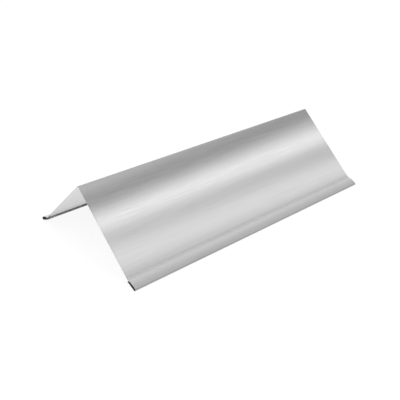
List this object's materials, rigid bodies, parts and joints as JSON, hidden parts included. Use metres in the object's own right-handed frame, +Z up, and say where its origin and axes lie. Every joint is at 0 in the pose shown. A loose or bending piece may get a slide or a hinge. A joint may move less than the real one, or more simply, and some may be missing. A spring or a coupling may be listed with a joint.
{
  "type": "roof ridge cap",
  "caption": "Folded sheet steel ridge cap: two sloping wings that meet in a sharp ridge, each ending in a kicked-out lip with an open hem.",
  "frame": {"origin": "middle of the cap's footprint, on the level that its two hems stand on", "axes": "+X along the ridge, +Y across the ridge towards one wing, +Z up through the ridge"},
  "size_m": [0.43, 0.2298, 0.0974],
  "materials": {
    "coated_steel": "satin"
  },
  "bodies": {
    "root": {"ridge_cap_sheet": "coated_steel"}
  },
  "joints": []
}
